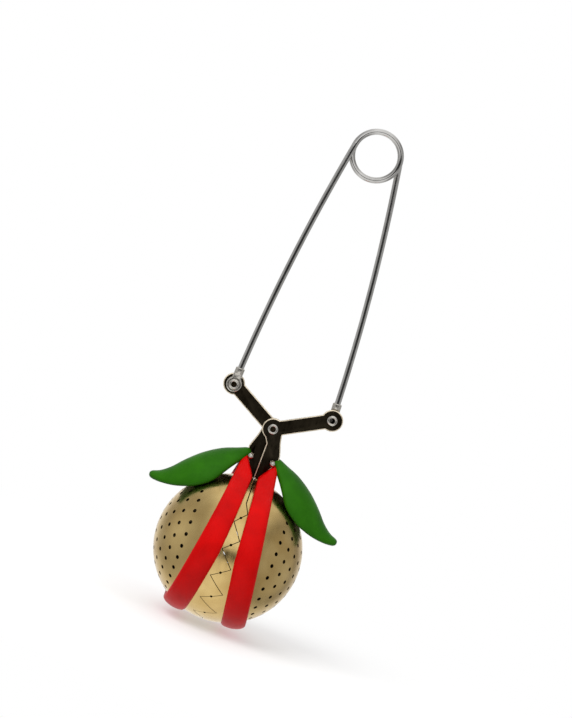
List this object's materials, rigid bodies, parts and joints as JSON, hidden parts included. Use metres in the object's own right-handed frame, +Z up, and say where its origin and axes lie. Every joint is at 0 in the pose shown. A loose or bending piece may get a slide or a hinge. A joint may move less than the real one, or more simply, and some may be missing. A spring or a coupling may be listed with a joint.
{
  "type": "tea infuser",
  "caption": "Squeeze-handled tea infuser: a sprung wire handle opens a toothed, perforated steel ball with red lips and green leaves.",
  "frame": {"origin": "centre of the handle's finger loop, which holds or hangs the infuser", "axes": "+Z up along the handle away from the ball, +X to the right, +Y to the back, along the axis of the loop and of the rivets"},
  "size_m": [0.0648, 0.0502, 0.1671],
  "materials": {
    "spring_wire": "polished stainless wire",
    "lever_plate": "dark burnished steel, satin",
    "rivet_steel": "polished steel",
    "ball_steel": "polished stainless steel, perforated",
    "lip_red": "satin gloss red resin",
    "leaf_green": "satin gloss green resin"
  },
  "bodies": {
    "handle": {"handle_loop": "spring_wire"},
    "left_handle_leg": {"left_leg": "spring_wire", "left_eye": "rivet_steel"},
    "right_handle_leg": {"right_leg": "spring_wire", "right_eye": "rivet_steel"},
    "left_jaw": {"left_lever": "lever_plate", "left_pivot_rivet": "rivet_steel", "left_pivot_washer": "rivet_steel", "left_shell": "ball_steel", "left_lip": "lip_red", "left_leaf": "leaf_green", "left_pin": "rivet_steel"},
    "right_jaw": {"right_lever": "lever_plate", "right_pivot_rivet": "rivet_steel", "right_pivot_washer": "rivet_steel", "right_shell": "ball_steel", "right_lip": "lip_red", "right_leaf": "leaf_green", "right_pin": "rivet_steel", "centre_rivet": "rivet_steel", "centre_washer": "rivet_steel"}
  },
  "joints": [
    {"name": "left_leg_flex", "type": "hinge", "parent": "handle", "child": "left_handle_leg", "pos_m": [0, 0, 0], "axis": [0, -1, 0], "range_deg": [0, 3.06]},
    {"name": "right_leg_flex", "type": "hinge", "parent": "handle", "child": "right_handle_leg", "pos_m": [0, 0, 0], "axis": [0, 1, 0], "range_deg": [0, 3.06]},
    {"name": "left_jaw_swing", "type": "hinge", "parent": "left_handle_leg", "child": "left_jaw", "pos_m": [-0.0168, 0, -0.0841], "axis": [0, 1, 0], "range_deg": [0, 25], "stiffness_Nm_per_rad": 0.1, "springref_deg": -28.65},
    {"name": "right_jaw_swing", "type": "hinge", "parent": "right_handle_leg", "child": "right_jaw", "pos_m": [0.0168, 0, -0.0841], "axis": [0, -1, 0], "range_deg": [0, 25]}
  ],
  "couplings": [
    {"joint": "right_jaw_swing", "follows": "left_jaw_swing", "ratio": 1},
    {"joint": "left_leg_flex", "follows": "left_jaw_swing", "ratio": 0.1214},
    {"joint": "right_leg_flex", "follows": "left_jaw_swing", "ratio": 0.1214}
  ]
}
